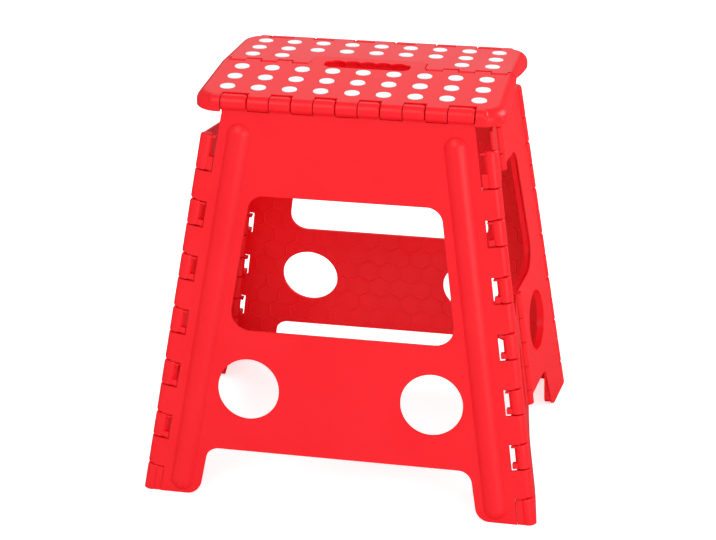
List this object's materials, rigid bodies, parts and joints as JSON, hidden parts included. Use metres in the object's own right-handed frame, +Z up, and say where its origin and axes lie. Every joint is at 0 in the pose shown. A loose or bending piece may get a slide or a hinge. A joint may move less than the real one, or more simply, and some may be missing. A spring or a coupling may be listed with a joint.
{
  "type": "folding step stool",
  "caption": "Folding plastic step stool: hinged leg and side panels, two-part dotted tread with a hand hole, folds flat.",
  "frame": {"origin": "on the floor under the middle of the stool", "axes": "+Z up, -Y towards the front leg panel, X along the seat seam"},
  "size_m": [0.386, 0.3292, 0.3954],
  "materials": {
    "red_plastic": "satin moulded polypropylene",
    "steel_pin": "plain drawn rod",
    "white_rubber": "matt"
  },
  "bodies": {
    "front_leg": {"front_leg_panel": "red_plastic", "front_seat_pin": "steel_pin", "left_front_corner_pin": "steel_pin", "right_front_corner_pin": "steel_pin"},
    "left_front_side": {"left_front_side_panel": "red_plastic", "left_side_lower_pin": "steel_pin", "left_side_upper_pin": "steel_pin"},
    "left_rear_side": {"left_rear_side_panel": "red_plastic"},
    "rear_leg": {"rear_leg_panel": "red_plastic", "rear_seat_pin": "steel_pin", "left_rear_corner_pin": "steel_pin", "right_rear_corner_pin": "steel_pin"},
    "front_seat": {"front_seat_half": "red_plastic", "left_seam_pin": "steel_pin", "right_seam_pin": "steel_pin", "front_grip_row_1": "white_rubber", "front_grip_row_2": "white_rubber", "front_grip_row_3": "white_rubber"},
    "rear_seat": {"rear_seat_half": "red_plastic", "rear_grip_row_1_left": "white_rubber", "rear_grip_row_1_right": "white_rubber", "rear_grip_row_2": "white_rubber", "rear_grip_row_3": "white_rubber"},
    "right_front_side": {"right_front_side_panel": "red_plastic", "right_side_lower_pin": "steel_pin", "right_side_upper_pin": "steel_pin"},
    "right_rear_side": {"right_rear_side_panel": "red_plastic"}
  },
  "joints": [
    {"name": "left_front_corner_hinge", "type": "hinge", "parent": "front_leg", "child": "left_front_side", "pos_m": [-0.15843, -0.12564, 0.18], "axis": [-0.1501, -0.1487, -0.9774], "range_deg": [-2.6, 81.6]},
    {"name": "left_side_hinge", "type": "hinge", "parent": "left_front_side", "child": "left_rear_side", "pos_m": [-0.14956, 0, 0.18], "axis": [-0.1413, 0, -0.99], "range_deg": [-160.7, 5.2]},
    {"name": "left_rear_corner_hinge", "type": "hinge", "parent": "left_rear_side", "child": "rear_leg", "pos_m": [-0.15843, 0.12564, 0.18], "axis": [-0.1501, 0.1487, -0.9774], "range_deg": [-2.6, 81.5]},
    {"name": "front_seat_hinge", "type": "hinge", "parent": "front_leg", "child": "front_seat", "pos_m": [0, -0.10086, 0.38277], "axis": [1, 0, 0], "range_deg": [-2.4, 72]},
    {"name": "seat_seam_hinge", "type": "hinge", "parent": "front_seat", "child": "rear_seat", "pos_m": [0, 0, 0.38986], "axis": [1, 0, 0], "range_deg": [-154.7, 5]},
    {"name": "right_front_corner_hinge", "type": "hinge", "parent": "front_leg", "child": "right_front_side", "pos_m": [0.15843, -0.12564, 0.18], "axis": [0.1501, -0.1487, -0.9774], "range_deg": [-81.6, 2.6]},
    {"name": "right_side_hinge", "type": "hinge", "parent": "right_front_side", "child": "right_rear_side", "pos_m": [0.14956, 0, 0.18], "axis": [0.1413, 0, -0.99], "range_deg": [-5.2, 160.7]}
  ],
  "couplings": [
    {"joint": "left_side_hinge", "follows": "left_front_corner_hinge", "ratio": -1.9683},
    {"joint": "left_rear_corner_hinge", "follows": "left_front_corner_hinge", "ratio": 0.9985},
    {"joint": "front_seat_hinge", "follows": "left_front_corner_hinge", "ratio": 0.8822},
    {"joint": "seat_seam_hinge", "follows": "left_front_corner_hinge", "ratio": -1.8946},
    {"joint": "right_front_corner_hinge", "follows": "left_front_corner_hinge", "ratio": -1},
    {"joint": "right_side_hinge", "follows": "left_front_corner_hinge", "ratio": 1.9683}
  ]
}
